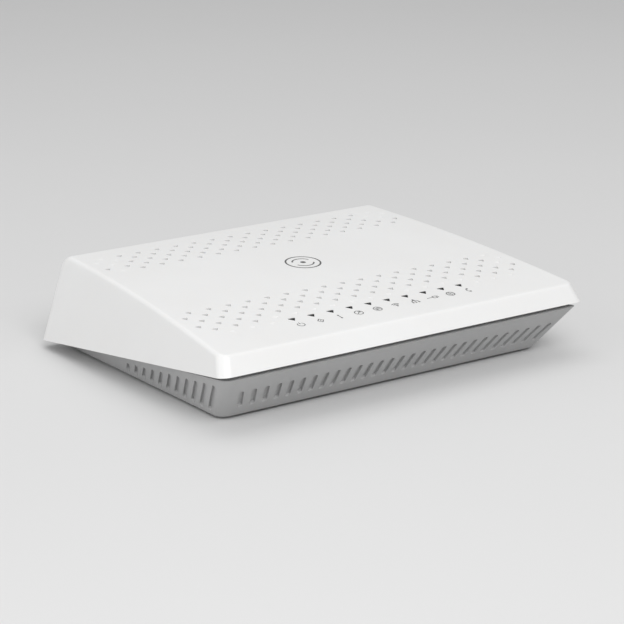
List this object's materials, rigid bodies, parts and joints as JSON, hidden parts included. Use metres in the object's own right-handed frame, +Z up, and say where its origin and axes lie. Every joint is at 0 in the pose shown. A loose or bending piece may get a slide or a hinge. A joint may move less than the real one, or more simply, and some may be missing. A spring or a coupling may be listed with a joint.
{
  "type": "desktop cable modem gateway",
  "caption": "Wedge-shaped desktop cable modem: white vented cover on a grey tray with fanned recesses, rear sockets, power rocker and push buttons.",
  "frame": {"origin": "middle of the footprint, on the table under the rubber feet", "axes": "+X to the right seen from the front, +Y towards the sockets at the back, +Z up"},
  "size_m": [0.2554, 0.2014, 0.0568],
  "materials": {
    "cover_plastic": "fine satin texture",
    "tray_plastic": "fine matt texture",
    "panel_plastic": "fine matt texture",
    "smoked_plastic": "polished, smoked",
    "foot_rubber": "matt",
    "screw_steel": "zinc plated",
    "label_film": "blank satin film",
    "board_laminate": "solder mask",
    "led_resin": "cast resin",
    "chip_resin": "moulded",
    "pad_silicone": "soft, matt",
    "sink_aluminium": "extruded",
    "natural_nylon": "satin",
    "black_plastic": "moulded",
    "can_sleeve": "shrink sleeve",
    "ferrite": "sintered",
    "plated_can": "nickel plated",
    "ceramic_body": "ceramic",
    "tinned_sheet": "tinned",
    "plated_bronze": "plated",
    "nickel_plate": "nickel plated, satin",
    "white_insulator": "moulded",
    "gold_plate": "gold plated",
    "grey_plastic": "moulded",
    "rocker_plastic": "moulded",
    "red_plastic": "moulded",
    "button_plastic": "satin"
  },
  "bodies": {
    "housing": {"top_cover": "cover_plastic", "bottom_case": "tray_plastic", "rear_panel": "panel_plastic", "light_guide": "smoked_plastic", "rubber_feet": "foot_rubber", "case_screws": "screw_steel", "rating_label": "label_film", "main_board": "board_laminate", "board_screws": "screw_steel", "status_leds": "led_resin", "gateway_chip": "chip_resin", "heat_pad": "pad_silicone", "heat_sink": "sink_aluminium", "heat_sink_pins": "natural_nylon", "memory_chips": "chip_resin", "flash_chip": "chip_resin", "phone_chips": "chip_resin", "line_magnetics": "black_plastic", "capacitors": "can_sleeve", "inductors": "ferrite", "crystals": "plated_can", "small_passives": "ceramic_body", "radio_shield": "tinned_sheet", "stamped_antennas": "plated_bronze", "tuner_frame": "tinned_sheet", "tuner_lid": "tinned_sheet", "coax_socket": "nickel_plate", "coax_insulator": "white_insulator", "coax_contact": "gold_plate", "ethernet_jacks": "black_plastic", "ethernet_contacts": "gold_plate", "phone_jacks": "grey_plastic", "phone_contacts": "gold_plate", "usb_shell": "nickel_plate", "usb_tongue": "white_insulator", "power_inlet": "black_plastic", "inlet_pin": "nickel_plate", "switch_body": "black_plastic", "tact_switches": "black_plastic"},
    "rocker": {"power_rocker": "rocker_plastic"},
    "reset": {"reset_plunger": "red_plastic"},
    "pairing": {"pairing_button": "button_plastic", "pairing_stem": "black_plastic"}
  },
  "joints": [
    {"name": "rocker_turn", "type": "hinge", "parent": "housing", "child": "rocker", "pos_m": [-0.091, 0.085, 0.0202], "axis": [0, 0, 1], "range_deg": [0, 20]},
    {"name": "reset_press", "type": "slide", "parent": "housing", "child": "reset", "axis": [0, -1, 0], "range_m": [0, 0.0003], "stiffness_N_per_m": 3000},
    {"name": "pairing_press", "type": "slide", "parent": "housing", "child": "pairing", "axis": [0, -1, 0], "range_m": [0, 0.0003], "stiffness_N_per_m": 3000}
  ]
}
